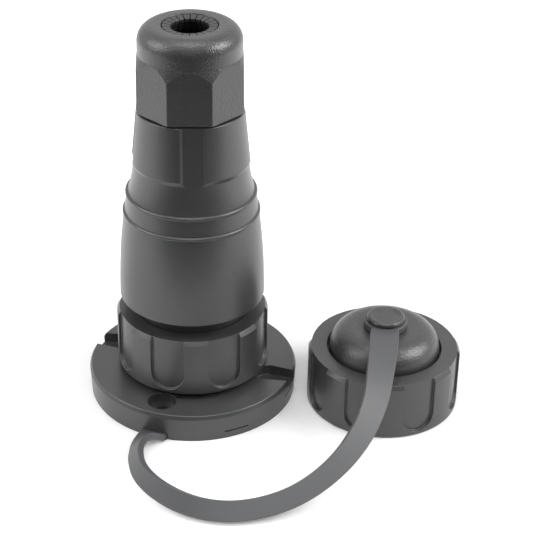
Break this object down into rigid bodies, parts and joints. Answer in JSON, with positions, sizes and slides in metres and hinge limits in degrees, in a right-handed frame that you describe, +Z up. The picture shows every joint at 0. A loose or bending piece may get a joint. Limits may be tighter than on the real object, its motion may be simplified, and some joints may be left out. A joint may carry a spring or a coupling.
{
  "type": "watertight deck plug",
  "caption": "Straight waterproof power plug screwed into a round deck flange, with a cable gland on top and a domed screw cap held to the flange by a curved strap.",
  "frame": {"origin": "centre of the flange's underside, on the deck", "axes": "+Z up the plug's axis, -Y towards the front, +X towards the cap"},
  "size_m": [0.1464, 0.1334, 0.1542],
  "materials": {
    "moulding": "charcoal satin moulding with a fine grain",
    "sleeve": "dark grey moulding",
    "strap": "soft grey flexible moulding",
    "seal": "black rubber",
    "insert": "black moulding",
    "contact": "turned",
    "screw": "plated"
  },
  "bodies": {
    "base": {"deck_flange": "moulding", "deck_gasket": "seal", "socket_insert": "insert", "socket_contact_1": "contact", "socket_contact_2": "contact", "socket_contact_3": "contact", "socket_contact_4": "contact", "socket_terminal_screws": "screw", "socket_retaining_ring": "moulding", "strap": "strap"},
    "plug": {"plug_sleeve": "sleeve", "sleeve_o_ring": "seal", "plug_face_seal": "seal", "pin_insert": "insert", "pin_contact_1": "contact", "pin_contact_2": "contact", "pin_contact_3": "contact", "pin_contact_4": "contact", "pin_terminal_screws": "screw", "pin_retaining_ring": "moulding", "plug_body": "moulding"},
    "nut": {"coupling_nut": "moulding"},
    "gland_cage": {"gland_claw": "sleeve", "gland_grommet": "seal"},
    "gland_cover": {"gland_nut": "moulding"},
    "cap": {"cap_dome": "moulding", "cap_seal": "seal"},
    "cap_grip": {"cap_ring": "moulding"}
  },
  "joints": [
    {"name": "plug_pull", "type": "slide", "parent": "base", "child": "plug", "axis": [0, 0, 1], "range_m": [0, 0.04]},
    {"name": "coupling_nut_turn", "type": "hinge", "parent": "plug", "child": "nut", "pos_m": [0, 0, 0.025], "axis": [0, 0, 1], "continuous": true},
    {"name": "gland_rise", "type": "slide", "parent": "plug", "child": "gland_cage", "axis": [0, 0, 1], "range_m": [0, 0.0045]},
    {"name": "gland_nut_turn", "type": "hinge", "parent": "gland_cage", "child": "gland_cover", "pos_m": [0, 0, 0.14], "axis": [0, 0, 1], "range_deg": [0, 1080]},
    {"name": "cap_swivel", "type": "hinge", "parent": "base", "child": "cap", "pos_m": [0.0754, -0.0094, 0.033], "axis": [0, 0, 1], "continuous": true},
    {"name": "cap_ring_turn", "type": "hinge", "parent": "cap", "child": "cap_grip", "pos_m": [0.0754, -0.0094, 0.012], "axis": [0, 0, 1], "continuous": true}
  ],
  "couplings": [
    {"joint": "gland_rise", "follows": "gland_nut_turn", "m_per_rad": 0.00023873}
  ]
}
